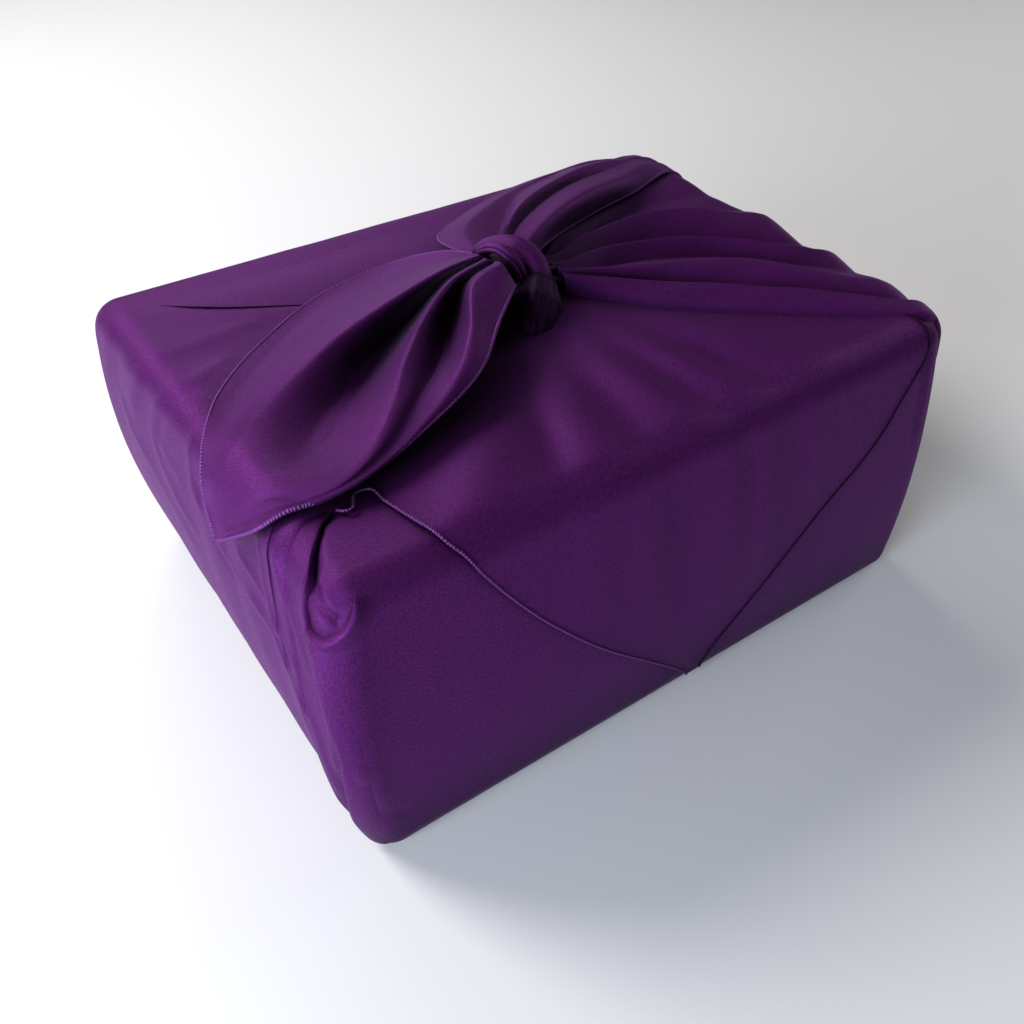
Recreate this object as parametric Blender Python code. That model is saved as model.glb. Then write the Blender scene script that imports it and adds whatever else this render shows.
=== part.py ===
"""Furoshiki wrap: one square cloth folded and knotted over a plain carton.

Sizes are in millimetres and are turned into metres when a mesh is made.
+X runs along the long side, -Y is the side with the V-shaped flap, +Z is up,
and the origin is on the table under the middle of the bundle.
"""
import bmesh
import bpy
import math

import numpy as np

# Driving dimensions of the bundle
LENGTH = 248.0           # along X, outside the cloth
DEPTH = 188.0            # along Y
HEIGHT = 115.0           # table to the flat part of the top
CLOTH = 2.0              # wall of cloth, its layers pressed together
BOX_GAP = 0.4            # air between the cloth and the carton
EDGE_RADIUS = 9.0        # soft upright edges
TOP_RADIUS = 9.0         # soft edges round the top
FOOT_RADIUS = 4.0        # tighter edges round the bottom
INNER_RADIUS = 7.5       # edges of the hollow that holds the carton
END_BULGE = 7.1          # how far the left end swells out at half height
SIDE_BULGE = 5.0         # and the two long sides
FLAP_STEP = 1.3          # how far the V flap stands proud of the layer below
FLAP_SINK = 0.9          # how far its back is sunk into that layer
TAIL_CLOTH = 2.2         # thickness of the two free tails
TAIL_CLEAR = 3.4         # their middle surface over the flat top
EAR_SINK = 1.2           # how far the ears' undersides are sunk into the top
INNER_LEVELS = 6         # rows of faces up the sides of the hollow
CREASE_SIDES = 8         # sides of a swept roll or crease
WELD_DISTANCE = 1.5e-5   # metres
WELD_PASSES = 3
HALF_BEND = 1 - math.tan(math.radians(22.5))   # where a round edge is half turned

HALF = np.array([LENGTH / 2, DEPTH / 2, HEIGHT / 2])
SATIN_PURPLE = (0.085, 0.022, 0.125, 1.0)
CARD_BROWN = (0.42, 0.29, 0.17, 1.0)

# How far each corner of the soft bundle is off a true box: sx, sy, top, dx, dy, dz
CORNER_SHIFT = [
    (-1, -1, 1, 0.0, 0.1, 0.0),
    (1, -1, 1, -0.9, 4.8, -0.2),
    (1, 1, 1, 0.2, -0.3, -0.3),
    (-1, 1, 1, -5.8, 0.5, 0.8),
    (-1, -1, 0, 1.7, -5.5, 0.0),
    (1, -1, 0, -0.2, -0.9, 0.0),
    (-1, 1, 0, 1.5, 0.5, 0.0),
    (1, 1, 0, 0.0, 0.0, 0.0),
]

# Soft pleats on the two end faces: y at the foot, y at the top edge, height, width
LEFT_PLEATS = [
    (-84, -85, 1.3, 4),
    (-62, -72, 1.6, 5),
    (-38, -58, 1.2, 6),
    (-12, -40, 1.5, 6),
    (16, -20, 1.0, 6),
    (46, 4, 1.3, 7),
    (70, 34, 1.1, 7),
]
RIGHT_PLEATS = [
    (-78, -84, 1.5, 5),
    (-52, -62, 1.3, 6),
    (-24, -40, 1.6, 6),
    (8, -16, 1.2, 7),
    (38, 12, 1.5, 7),
    (68, 44, 1.2, 7),
]

# Soft swells of the top that run out from the knot: start x, y, end x, y, height, width
TOP_SWELLS = [
    (-20, -22, -62, -78, 1.2, 9),
    (-2, -26, -18, -82, 1.5, 9),
    (14, -24, 18, -84, 1.3, 8),
    (30, -32, 42, -84, 1.4, 7),
    (48, -44, 66, -82, 1.1, 7),
    (-40, 40, -70, 84, 0.7, 10),
    (4, 50, 8, 90, 0.6, 10),
]

# The V flap's two hems: distance along the cloth from the middle of the top,
# over the front edge and down the front, then left and right hem x
FLAP_HEMS = [
    (16, -30, 24),
    (40, -62, 52),
    (58, -88, 74),
    (66, -93, 84),
    (76, -91, 96),
    (88, -88, 108),
    (94, -86, 114),
    (101, -81, 113),
    (115, -71, 100),
    (131, -59, 87),
    (148, -45, 62),
    (164, -31, 45),
    (180, -15, 29),
    (196, 0, 16),
    (206.5, 9, 13),
]

FLAP_LINES = (28, 50, 111, 139, 156, 188)   # more distances that get a row of faces
FLAP_COLUMNS = 14
FLAP_THIN_FROM = 180     # where the flap starts to lie flatter towards its tip
FLAP_THIN_SHARE = 0.5
FLAP_EDGE_LINE = 3.0     # rows this far to each side of the top's front edge

# Folds of the right-hand ear: y at four places between the knot and the end, height
EAR_STATIONS = (12, 45, 80, 119)
RIGHT_EAR = [
    (-11, -37, -65, -89, 0.3),
    (-10, -32, -60, -86, 3.6),
    (-8, -23, -50, -80, 6.2),
    (-7, -19, -46, -77, 3.0),
    (-5, -12, -29, -66, 6.6),
    (-3, 0, -13, -49, 3.4),
    (-1, 8, -3, -35, 7.4),
    (1, 13, 8, -22, 3.6),
    (3, 18, 20, 1, 7.6),
    (5, 26, 39, 33, 2.0),
    (8, 36, 54, 60, 1.4),
    (9, 44, 63, 73, 3.0),
    (10, 52, 71, 85, 0.3),
]
LEFT_EAR = [
    (-6, -30, -49, -76, 0.3),
    (-4, -23, -42, -66, 2.8),
    (-3, -15, -30, -52, 1.6),
    (-1, -8, -17, -32, 3.2),
    (0, 0, -2, -10, 1.6),
    (2, 8, 12, 14, 2.9),
    (3, 15, 26, 38, 1.4),
    (4, 22, 38, 58, 2.8),
    (5, 30, 50, 74, 1.4),
    (6, 37, 60, 87, 0.3),
]
EAR_LINES = (12, 17, 23, 31, 40, 52, 66, 80, 94, 106, 114, 119)   # x of its rows of faces
EAR_END_FADE = (84, 119, 0.70)    # where the folds fade towards the end, and by how much
EAR_NECK_FADE = (12, 34, 0.45)    # the same towards the knot
EAR_SETTLE = (96, 119, 0.9)       # the ear sinks by this much where it turns down the end
EAR_RIM = 0.12           # share of its width over which each side of the ear slopes down
EAR_RIM_CLIMB = 0.35     # share of the neck's climb that its sides keep
EAR_NECK_RISE = 9.0      # how much the gathered ears climb at the knot
EAR_NECK_REACH = 20.0    # distance over which that climb dies out

# The large tail over the left end, one row a fold, its points from the knot outwards
LEFT_TAIL = {
    "back hem": [(-11, 14, 133), (-15, 31, 128), (-30, 43, 122), (-59, 42, 119.5),
                 (-100, 17, 118.5), (-121, -7, 118)],
    "back hollow": [(-12, 11, 134), (-20, 25, 128), (-36, 32, 122.5), (-67, 27, 119.5),
                    (-104, 2, 118.5), (-121, -15, 118)],
    "first crest": [(-13, 7, 136.5), (-28, 6, 136), (-44, 4, 133), (-70, -1, 129),
                    (-95, -11, 124), (-121, -24, 118)],
    "deep hollow": [(-12, 3, 134.5), (-24, 3, 130), (-44, -1, 123), (-74, -14, 119),
                    (-98, -26, 118.5), (-121, -34, 118)],
    "second crest": [(-13, -1, 137), (-29, -4, 136), (-46, -15, 133.5), (-69, -36, 128.5),
                     (-96, -52, 122.5), (-121, -44, 118)],
    "short hollow": [(-12, -3, 135), (-23, -8, 131), (-38, -22, 126), (-64, -42, 122),
                     (-95, -57, 121), (-120, -51, 118)],
    "front crest": [(-12, -7, 136.5), (-26, -15, 136), (-41, -32, 133.5), (-65, -49, 126),
                    (-97, -60, 121), (-119, -55, 118)],
    "front hem": [(-11, -12, 133.5), (-28, -28, 132.5), (-43, -42, 129.5), (-71, -54, 124),
                  (-100, -63, 120.5), (-117, -60, 118)],
}
# Its hanging point, down the left face: height, y of the side hem, y of the front hem
LEFT_TAIL_DROP = [
    (110, -19, -54),
    (101, -21, -41),
    (90, -23, -28),
]
# The smaller tail over the far right corner
RIGHT_TAIL = {
    "back hem": [(-8, 14, 132), (-6, 46, 124), (17, 65, 121), (42, 76, 120.5),
                 (69, 78, 120), (99, 79, 119)],
    "back fold": [(-7, 13, 134), (1, 40, 128.5), (19, 55, 125.5), (44, 71, 122.5),
                  (73, 76, 121), (103, 76, 119.5)],
    "valley": [(-4, 12, 133), (11, 33, 125), (31, 56, 121), (51, 69, 120.5),
               (79, 74, 120), (106, 73, 119.5)],
    "middle fold": [(-3, 10, 134), (15, 26, 128.5), (37, 51, 125), (63, 66, 122),
                    (89, 71, 121), (110, 69, 119.5)],
    "crease": [(-2, 8, 133), (16, 22, 126.5), (41, 46, 122), (67, 59, 121),
               (92, 65, 120), (112, 65, 119)],
    "lobe": [(-1, 5, 133.5), (16, 16, 130), (41, 35, 127), (69, 49, 124),
             (94, 57, 121.5), (114, 61, 119)],
    "front edge": [(0, 1, 131), (19, 11, 126.5), (49, 30, 122), (76, 43, 120.5),
                   (98, 51, 119.5), (115, 56, 118)],
}
RIGHT_TAIL_DROP = [
    (107, 72, 55),
    (98, 66, 59),
]

# Lumps of the knot: centre, radii, wrinkles round it, wrinkle depth
KNOT_LUMPS = [
    ((-2, -1, 124), (16, 12, 10.2), 0, 0.0),
    ((-3, 3, 130.5), (8, 12.5, 9.5), 0, 0.0),
    ((4, -3, 130), (8, 8, 7.5), 5, 0.5),
    ((-3, -12, 125.5), (8.5, 7, 9.5), 6, 1.0),
    ((-1, -14.5, 121.5), (7, 5.5, 7.5), 6, 0.8),
    ((10, -2, 121.8), (10, 9, 8), 5, 0.6),
]
# The folded edge of the cloth that loops over the neck of the large tail
COLLAR_ROUTE = [
    (-7, 19, 123), (-8.5, 17.5, 131), (-9.5, 12, 137), (-9.5, 5, 139.5),
    (-9, -2, 138), (-7.5, -8, 133), (-6, -10, 127), (-5, -10, 121),
]
COLLAR_RADIUS = 2.6

# Soft rolls of cloth on the near left corner, and the creases beside them
POUCH_RIM = [
    (-102, -66, 120), (-110, -80, 120), (-117, -91, 117), (-122, -96, 110),
    (-126, -95, 103.5), (-130, -88, 100), (-130, -80, 101.5), (-129, -74, 106.5),
    (-126, -68, 113), (-116, -62, 120),
]
POUCH_RIM_RADIUS = 4.4
POUCH_RIM_LIFT = -2.6    # its middle line against the bundle's surface
POUCH_DOME = ((-111, -79, 104), (12.2, 12.2, 12.0), 0, 0.0)
HEM_CURL = [
    (-87, -92, 114.6), (-89, -82, 115.8), (-91.5, -72, 117), (-94, -63.5, 118),
    (-98, -61.5, 117.4), (-101, -64, 116.2),
]
HEM_CURL_RADIUS = 1.7
POUCH_CREASE = [
    (-101, -61, 120), (-107, -67, 120), (-114, -73, 120), (-121, -77, 117),
    (-126, -82, 111), (-127, -87, 107.5), (-124, -93, 106),
]
POUCH_CREASE_RADIUS = 1.5
POUCH_CREASE_LIFT = 0.5
CORNER_CREASE = [
    (-130, -93, 100), (-130, -95, 88), (-130, -96, 60), (-130, -97, 30), (-130, -97, 9),
]
CORNER_CREASE_RADIUS = 1.5
CORNER_CREASE_LIFT = 0.2
# A way for air from the pouch to the inside of the wrap
POUCH_MOUTH = [(-124, -84, 109.5), (-119, -81, 106.5), (-113, -77, 103)]
POUCH_MOUTH_RADIUS = 1.5


def clear_scene():
    for obj in list(bpy.data.objects):
        bpy.data.objects.remove(obj)


def material(name, colour, roughness):
    mat = bpy.data.materials.new(name)
    mat.use_nodes = True
    shader = mat.node_tree.nodes["Principled BSDF"]
    shader.inputs["Base Color"].default_value = colour
    shader.inputs["Roughness"].default_value = roughness
    shader.inputs["Metallic"].default_value = 0.0
    return mat


# ---- the form of the bundle -------------------------------------------------

def warp(p, swell=1.0):
    """Move a point with the soft bundle's shifted corners and swollen sides."""
    u = p / np.array([LENGTH, DEPTH, HEIGHT]) + np.array([0.5, 0.5, 0.0])
    u = np.clip(u, 0.0, 1.0)
    moved = np.array(p, float)
    for sx, sy, top, dx, dy, dz in CORNER_SHIFT:
        share = (u[0] if sx > 0 else 1 - u[0]) * (u[1] if sy > 0 else 1 - u[1])
        share *= u[2] if top else 1 - u[2]
        moved += share * np.array([dx, dy, dz])
    belly = 4 * u[2] * (1 - u[2]) * swell
    moved[0] += belly * END_BULGE * min(2 * u[0] - 1, 0.0)
    moved[1] += belly * SIDE_BULGE * (2 * u[1] - 1)
    return moved


def smooth(low, high, value):
    t = min(max((value - low) / (high - low), 0.0), 1.0)
    return t * t * (3 - 2 * t)


def bump(distance, width):
    return math.exp(-(distance / width) ** 2)


def pleat_relief(y, z, pleats):
    rise = smooth(0.05, 0.8, z / HEIGHT)
    total = 0.0
    for foot, top, height, width in pleats:
        middle = foot + (top - foot) * (z / HEIGHT)
        total += height * bump(y - middle, width) * (0.35 + 0.65 * rise)
    return (total - 0.4) * smooth(0.0, 0.12, z / HEIGHT)


def swell_relief(x, y):
    total = 0.0
    for x0, y0, x1, y1, height, width in TOP_SWELLS:
        along = np.array([x1 - x0, y1 - y0])
        t = float(np.dot(np.array([x - x0, y - y0]), along) / np.dot(along, along))
        near = min(max(t, 0.0), 1.0)
        distance = math.hypot(x - x0 - near * along[0], y - y0 - near * along[1])
        total += height * bump(distance, width)
    return total - 0.4


def relief(p):
    """Height of the folds above the bundle's plain rounded form, along its normal."""
    x, y, z = p
    edge = smooth(0, 30, HALF[0] - abs(x)) * smooth(0, 30, HALF[1] - abs(y))
    if z > HEIGHT - 1e-6:
        return swell_relief(x, y) * edge
    drop = smooth(0.0, 0.15, z / HEIGHT)
    if x < -HALF[0] + 1e-6:
        return pleat_relief(y, z, LEFT_PLEATS) * smooth(0, 12, HALF[1] - abs(y))
    if x > HALF[0] - 1e-6:
        return pleat_relief(y, z, RIGHT_PLEATS) * smooth(0, 12, HALF[1] - abs(y))
    if z < 1e-6:
        return 0.0
    waves = 0.5 * math.sin(x / 11.0 + 1.0) + 0.35 * math.sin(x / 6.3)
    return waves * drop * smooth(0, 40, HALF[0] - abs(x)) * smooth(-40, 110, x + z * 0.4)


def skin(p, lift):
    """Take a point of the sharp box onto the rounded, folded and shifted bundle."""
    p = np.array(p, float)
    low = np.array([-HALF[0] + EDGE_RADIUS, -HALF[1] + EDGE_RADIUS, FOOT_RADIUS])
    high = np.array([HALF[0] - EDGE_RADIUS, HALF[1] - EDGE_RADIUS, HEIGHT - TOP_RADIUS])
    core = np.clip(p, low, high)
    upright = FOOT_RADIUS if p[2] < HEIGHT / 2 else TOP_RADIUS
    radii = np.array([EDGE_RADIUS, EDGE_RADIUS, upright])
    turn = (p - core) / radii
    turn /= np.linalg.norm(turn)
    out = turn / radii
    out /= np.linalg.norm(out)
    return warp(core + turn * radii + out * (lift + relief(p)))


def on_bundle(p, lift):
    """The point of the plain rounded bundle nearest to p, raised by a set distance."""
    low = np.array([-HALF[0] + EDGE_RADIUS, -HALF[1] + EDGE_RADIUS, FOOT_RADIUS])
    high = np.array([HALF[0] - EDGE_RADIUS, HALF[1] - EDGE_RADIUS, HEIGHT - TOP_RADIUS])
    core = np.clip(p, low, high)
    out = np.array(p) - core
    return warp(core + out / np.linalg.norm(out) * (EDGE_RADIUS + lift))


# ---- mesh helpers -----------------------------------------------------------

def mesh_object(name, points, faces):
    mesh = bpy.data.meshes.new(name)
    mesh.from_pydata([tuple(float(c) / 1000 for c in p) for p in points], [], faces)
    form = bmesh.new()
    form.from_mesh(mesh)
    bmesh.ops.remove_doubles(form, verts=form.verts, dist=2e-6)
    bmesh.ops.recalc_face_normals(form, faces=form.faces)
    if form.calc_volume(signed=True) < 0:
        bmesh.ops.reverse_faces(form, faces=form.faces)
    form.to_mesh(mesh)
    form.free()
    obj = bpy.data.objects.new(name, mesh)
    bpy.context.scene.collection.objects.link(obj)
    return obj


def grid_faces(rows, columns, start, flip=False):
    faces = []
    for i in range(rows - 1):
        for j in range(columns - 1):
            a = start + i * columns + j
            quad = (a, a + 1, a + columns + 1, a + columns)
            faces.append(quad[::-1] if flip else quad)
    return faces


def slab(name, upper, lower):
    """A closed thick sheet between two grids of points of the same shape."""
    rows, columns = upper.shape[:2]
    count = rows * columns
    points = list(upper.reshape(-1, 3)) + list(lower.reshape(-1, 3))
    faces = grid_faces(rows, columns, 0) + grid_faces(rows, columns, count, True)
    rim = [j for j in range(columns)]
    rim += [i * columns + columns - 1 for i in range(1, rows)]
    rim += [(rows - 1) * columns + j for j in range(columns - 2, -1, -1)]
    rim += [i * columns for i in range(rows - 2, 0, -1)]
    for k, a in enumerate(rim):
        b = rim[(k + 1) % len(rim)]
        faces.append((b, a, a + count, b + count))
    return mesh_object(name, points, faces)


def through(points, t):
    """A smooth curve through a list of points, t from 0 to 1."""
    points = np.asarray(points, float)
    last = len(points) - 1
    place = min(max(t, 0.0), 1.0) * last
    i = min(int(place), last - 1)
    f = place - i
    p0 = points[max(i - 1, 0)]
    p1 = points[i]
    p2 = points[i + 1]
    p3 = points[min(i + 2, last)]
    m1 = (p2 - p0) / 2
    m2 = (p3 - p1) / 2
    return ((2 * f**3 - 3 * f**2 + 1) * p1 + (f**3 - 2 * f**2 + f) * m1
            + (-2 * f**3 + 3 * f**2) * p2 + (f**3 - f**2) * m2)


def net(lines, rows, columns):
    """A smooth grid through fold lines: rows run along a fold, columns across them."""
    stations = [[through(line, i / (rows - 1)) for line in lines] for i in range(rows)]
    return np.array([[through(row, j / (columns - 1)) for j in range(columns)]
                     for row in stations])


def grid_normals(grid):
    along = np.gradient(grid, axis=0)
    across = np.gradient(grid, axis=1)
    normals = np.cross(along, across)
    return normals / np.linalg.norm(normals, axis=2, keepdims=True)


def tube(name, route, radius, rings, ends=0.45):
    """A closed roll along a route, thinner at its two ends."""
    centres = np.array([through(route, i / (rings - 1)) for i in range(rings)])
    along = np.gradient(centres, axis=0)
    points, faces = [], []
    side = np.cross(along[0], (0.3, 0.2, 1.0))
    for i, (centre, way) in enumerate(zip(centres, along)):
        way = way / np.linalg.norm(way)
        side = side - way * np.dot(side, way)
        side /= np.linalg.norm(side)
        other = np.cross(way, side)
        taper = ends + (1 - ends) * math.sin(math.pi * i / (rings - 1)) ** 0.5
        for k in range(CREASE_SIDES):
            turn = 2 * math.pi * (k + 0.5) / CREASE_SIDES
            arm = side * math.cos(turn) + other * math.sin(turn)
            points.append(centre + arm * radius * taper)
    for i in range(rings - 1):
        for k in range(CREASE_SIDES):
            a = i * CREASE_SIDES + k
            b = i * CREASE_SIDES + (k + 1) % CREASE_SIDES
            faces.append((a, b, b + CREASE_SIDES, a + CREASE_SIDES))
    faces.append(tuple(range(CREASE_SIDES)))
    faces.append(tuple(range((rings - 1) * CREASE_SIDES, rings * CREASE_SIDES)))
    return mesh_object(name, points, faces)


def lump(name, centre, radii, wrinkles, depth):
    """A lobe of the knot: an egg with wrinkles that run round it."""
    form = bmesh.new()
    bmesh.ops.create_uvsphere(form, u_segments=16, v_segments=9, radius=1.0)
    points = []
    for vert in form.verts:
        turn = math.atan2(vert.co.y, vert.co.x)
        swell = 1 - depth / radii[0] * math.cos(wrinkles * turn) * (1 - vert.co.z ** 2)
        points.append([centre[k] + vert.co[k] * radii[k] * swell for k in range(3)])
    faces = [tuple(v.index for v in face.verts) for face in form.faces]
    form.free()
    return mesh_object(name, points, faces)


# ---- pieces of the one cloth ------------------------------------------------

def ticks(half, radius, middle):
    """Grid lines across a face, closer together on its two rounded edges."""
    bend = radius * HALF_BEND
    inner = np.linspace(-half + radius, half - radius, middle + 1)
    return [-half, -half + bend] + list(inner) + [half - bend, half]


def box_points(name, xs, ys, zs, place):
    """The six faces of a box lattice, joined at their edges."""
    points, faces = [], []
    for axis, levels in ((0, xs), (1, ys), (2, zs)):
        first, second = [(ys, zs), (xs, zs), (xs, ys)][axis]
        for level in (levels[0], levels[-1]):
            start = len(points)
            for a in first:
                for b in second:
                    p = [a, b]
                    p.insert(axis, level)
                    points.append(place(p))
            faces += grid_faces(len(first), len(second), start)
    obj = mesh_object(name, points, faces)
    form = bmesh.new()
    form.from_mesh(obj.data)
    bmesh.ops.remove_doubles(form, verts=form.verts, dist=5e-5)
    bmesh.ops.recalc_face_normals(form, faces=form.faces)
    if form.calc_volume(signed=True) < 0:
        bmesh.ops.reverse_faces(form, faces=form.faces)
    flat = [f for f in form.faces if f.normal.z < -0.9999 and f.calc_center_median().z < 1e-5]
    if flat:
        bmesh.ops.dissolve_faces(form, faces=flat)
    form.to_mesh(obj.data)
    form.free()
    return obj


def body_form():
    """The outside of the wrapped bundle."""
    xs = ticks(HALF[0], EDGE_RADIUS, 16)
    ys = ticks(HALF[1], EDGE_RADIUS, 22)
    bend = TOP_RADIUS * HALF_BEND
    zs = [0, FOOT_RADIUS] + list(np.linspace(16, HEIGHT - TOP_RADIUS, 8))
    zs += [HEIGHT - bend, HEIGHT]
    return box_points("furoshiki_cloth", xs, ys, zs, lambda p: skin(p, 0.0))


def inner_box(name, inset, swell):
    """A rounded box a set distance inside the bundle's outside."""
    half = HALF - inset
    floor, roof = inset, HEIGHT - inset

    def place(p):
        low = np.array([-half[0] + INNER_RADIUS, -half[1] + INNER_RADIUS,
                        floor + INNER_RADIUS])
        high = np.array([half[0] - INNER_RADIUS, half[1] - INNER_RADIUS,
                         roof - INNER_RADIUS])
        core = np.clip(p, low, high)
        out = np.array(p) - core
        return warp(core + out / np.linalg.norm(out) * INNER_RADIUS, swell)

    bend = INNER_RADIUS * HALF_BEND
    lines = [[-half[k], -half[k] + bend, -half[k] + INNER_RADIUS,
              half[k] - INNER_RADIUS, half[k] - bend, half[k]] for k in (0, 1)]
    levels = [floor, floor + bend]
    levels += list(np.linspace(floor + INNER_RADIUS, roof - INNER_RADIUS, INNER_LEVELS))
    levels += [roof - bend, roof]
    obj = box_points(name, lines[0], lines[1], levels, place)
    form = bmesh.new()
    form.from_mesh(obj.data)
    bmesh.ops.triangulate(form, faces=form.faces, quad_method="FIXED")
    form.to_mesh(obj.data)
    form.free()
    return obj


def flap_form():
    """The far corner of the cloth, brought over the top and down the front as a V."""
    edge = HALF[1]
    table = np.array(FLAP_HEMS, float)
    bend = [edge - TOP_RADIUS, edge - FLAP_EDGE_LINE, edge + FLAP_EDGE_LINE, edge + TOP_RADIUS]
    stops = sorted(set(list(table[:, 0]) + list(FLAP_LINES) + bend))
    upper, lower = [], []
    for s in stops:
        step = FLAP_STEP * (1 - FLAP_THIN_SHARE * smooth(FLAP_THIN_FROM, table[-1, 0], s))
        left = np.interp(s, table[:, 0], table[:, 1])
        right = np.interp(s, table[:, 0], table[:, 2])
        p_row, q_row = [], []
        for t in np.linspace(0, 1, FLAP_COLUMNS):
            x = left + (right - left) * t
            flat = [x, -s, HEIGHT] if s <= edge else [x, -edge, HEIGHT - (s - edge)]
            p_row.append(skin(flat, step))
            q_row.append(skin(flat, -FLAP_SINK))
        upper.append(p_row)
        lower.append(q_row)
    return slab("flap", np.array(upper), np.array(lower))


def ear_form(name, folds, side):
    """A gathered end of the cloth, pleated on the top from the end to the knot."""
    folds = np.array(folds, float)
    reach = np.array(EAR_STATIONS, float)
    upper, lower = [], []
    across = np.linspace(0, 1, 2 * len(folds) - 1)
    for x in EAR_LINES:
        ys = [np.interp(x, reach, row[:4]) for row in folds]
        fade = 1 - EAR_END_FADE[2] * smooth(EAR_END_FADE[0], EAR_END_FADE[1], x)
        fade *= 1 - EAR_NECK_FADE[2] * (1 - smooth(EAR_NECK_FADE[0], EAR_NECK_FADE[1], x))
        climb = EAR_NECK_RISE * math.exp(-(x - EAR_LINES[0]) / EAR_NECK_REACH)
        settle = EAR_SETTLE[2] * smooth(EAR_SETTLE[0], EAR_SETTLE[1], x)
        line = [[y, row[4] * fade] for y, row in zip(ys, folds)]
        top_row, low_row = [], []
        for t in across:
            y, height = through(line, t)
            rim = smooth(0.0, EAR_RIM, min(t, 1 - t))
            z = HEIGHT + height + climb * (EAR_RIM_CLIMB + (1 - EAR_RIM_CLIMB) * rim) - settle
            top_row.append(warp([side * x, y, z]))
            low_row.append(warp([side * x, y, HEIGHT - EAR_SINK]))
        upper.append(top_row)
        lower.append(low_row)
    return slab(name, np.array(upper), np.array(lower))


def over_the_top(p):
    """Keep a tail's middle surface clear of the bundle's rounded form."""
    low = np.array([-HALF[0] + EDGE_RADIUS, -HALF[1] + EDGE_RADIUS, 0])
    high = np.array([HALF[0] - EDGE_RADIUS, HALF[1] - EDGE_RADIUS, HEIGHT - TOP_RADIUS])
    core = np.clip(p, low, high)
    out = np.array(p) - core
    distance = np.linalg.norm(out)
    need = TOP_RADIUS + TAIL_CLEAR
    if distance >= need or distance < 1e-6:
        return np.array(p)
    return core + out / distance * need


def tail_form(name, folds, drop, side, rows):
    """A free end of the cloth: folds that fan out of the knot and hang over an end."""
    lines = [list(route) for route in folds.values()]
    outside = side * (HALF[0] + TAIL_CLEAR)
    for height, y_first, y_last in drop:
        for j, line in enumerate(lines):
            y = y_first + (y_last - y_first) * j / (len(lines) - 1)
            line.append((outside, y, height))
    grid = net(lines, rows, 2 * len(lines) - 1)
    grid = np.array([[over_the_top(p) for p in row] for row in grid])
    normals = grid_normals(grid)
    if normals[:, :, 2].mean() < 0:
        normals = -normals
    half = TAIL_CLOTH / 2
    upper = np.array([[warp(p) for p in row] for row in grid + normals * half])
    lower = np.array([[warp(p) for p in row] for row in grid - normals * half])
    return slab(name, upper, lower)


def combine(target, tool, operation):
    tool.hide_render = True
    tool.display_type = "WIRE"
    cut = target.modifiers.new(operation.lower() + "_" + tool.name, "BOOLEAN")
    cut.operation = operation
    cut.solver = "EXACT"
    cut.object = tool


def weld(obj):
    """Fix the joined mesh and drop the hair-thin faces where its pieces meet."""
    graph = bpy.context.evaluated_depsgraph_get()
    joined = bpy.data.meshes.new_from_object(obj.evaluated_get(graph))
    form = bmesh.new()
    form.from_mesh(joined)
    bmesh.ops.triangulate(form, faces=form.faces)
    for _ in range(WELD_PASSES):
        bmesh.ops.remove_doubles(form, verts=form.verts, dist=WELD_DISTANCE)
        bmesh.ops.dissolve_degenerate(form, edges=form.edges, dist=WELD_DISTANCE)
        bmesh.ops.triangulate(form, faces=form.faces)
        form.verts.index_update()
        shared = {}
        for face in form.faces:
            key = frozenset(vert.index for vert in face.verts)
            shared.setdefault(key, []).append(face)
        twins = [face for group in shared.values() if len(group) > 1 for face in group]
        bmesh.ops.delete(form, geom=twins, context="FACES")
        loose = [vert for vert in form.verts if not vert.link_faces]
        bmesh.ops.delete(form, geom=loose, context="VERTS")
    obj.modifiers.clear()
    form.to_mesh(joined)
    form.free()
    joined.name = obj.name
    obj.data = joined


def build_cloth():
    cloth = body_form()
    cavity = inner_box("cavity", CLOTH, 1.0)
    mouth = tube("pouch_mouth", POUCH_MOUTH, POUCH_MOUTH_RADIUS, 5, 1.0)
    combine(cavity, mouth, "UNION")
    dome = (warp(POUCH_DOME[0]),) + POUCH_DOME[1:]
    rim = [on_bundle(p, POUCH_RIM_LIFT) for p in POUCH_RIM]
    crease = [on_bundle(p, POUCH_CREASE_LIFT) for p in POUCH_CREASE]
    corner = [on_bundle(p, CORNER_CREASE_LIFT) for p in CORNER_CREASE]
    steps = [
        ("UNION", lump("pouch_dome", *dome)),
        ("UNION", tube("pouch_rim", rim, POUCH_RIM_RADIUS, 19)),
        ("DIFFERENCE", tube("pouch_crease", crease, POUCH_CREASE_RADIUS, 13)),
        ("DIFFERENCE", tube("corner_crease", corner, CORNER_CREASE_RADIUS, 9)),
        ("DIFFERENCE", cavity),
        ("UNION", flap_form()),
        ("UNION", tube("hem_curl", HEM_CURL, HEM_CURL_RADIUS, 11)),
        ("UNION", ear_form("right_ear", RIGHT_EAR, 1)),
        ("UNION", ear_form("left_ear", LEFT_EAR, -1)),
        ("UNION", tail_form("right_tail", RIGHT_TAIL, RIGHT_TAIL_DROP, 1, 17)),
        ("UNION", tail_form("left_tail", LEFT_TAIL, LEFT_TAIL_DROP, -1, 25)),
        ("UNION", tube("collar", COLLAR_ROUTE, COLLAR_RADIUS, 15, 0.8)),
    ]
    for number, (centre, radii, wrinkles, depth) in enumerate(KNOT_LUMPS):
        name = "knot_lump_%d" % number
        steps.append(("UNION", lump(name, centre, radii, wrinkles, depth)))
    for operation, tool in steps:
        combine(cloth, tool, operation)
    weld(cloth)
    return cloth


def main():
    clear_scene()
    cloth = build_cloth()
    cloth.data.materials.append(material("purple satin", SATIN_PURPLE, 0.5))
    carton = inner_box("wrapped_box", CLOTH + BOX_GAP, 0.0)
    carton.data.materials.append(material("plain card", CARD_BROWN, 0.8))


main()
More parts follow.
